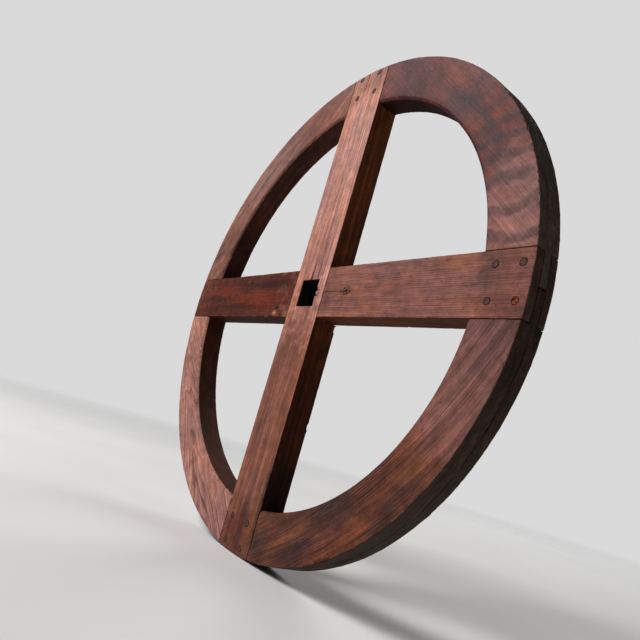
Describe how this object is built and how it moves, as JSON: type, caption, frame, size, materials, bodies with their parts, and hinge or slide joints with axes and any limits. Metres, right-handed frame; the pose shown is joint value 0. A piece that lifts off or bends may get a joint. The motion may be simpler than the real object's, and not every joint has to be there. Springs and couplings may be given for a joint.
{
  "type": "spinning wheel drive wheel",
  "caption": "Flat wooden drive wheel of a spinning wheel: felloes pegged into the forked ends of crossed arms, with a square axle mortise at the hub.",
  "frame": {"origin": "centre of the wheel, on the axle line at mid-thickness", "axes": "+Y along the axle towards the back face, +X along the horizontal arm to the right as seen from the front, +Z along the vertical arm upwards"},
  "size_m": [0.606, 0.0316, 0.606],
  "materials": {
    "rim_wood": "satin",
    "arm_wood": "satin",
    "peg_wood": "matte"
  },
  "bodies": {
    "root": {"felloe_upper_right": "rim_wood", "felloe_upper_left": "rim_wood", "felloe_lower_left": "rim_wood", "felloe_lower_right": "rim_wood", "arm_vertical": "arm_wood", "arm_horizontal": "arm_wood", "peg_top_outer_left": "peg_wood", "peg_top_outer_right": "peg_wood", "peg_top_inner_left": "peg_wood", "peg_top_inner_right": "peg_wood", "peg_right_outer_lower": "peg_wood", "peg_right_outer_upper": "peg_wood", "peg_right_inner_lower": "peg_wood", "peg_right_inner_upper": "peg_wood", "peg_bottom_outer_left": "peg_wood", "peg_bottom_outer_right": "peg_wood", "peg_bottom_inner_left": "peg_wood", "peg_bottom_inner_right": "peg_wood", "peg_left_outer_lower": "peg_wood", "peg_left_outer_upper": "peg_wood", "peg_left_inner_lower": "peg_wood", "peg_left_inner_upper": "peg_wood"}
  },
  "joints": []
}
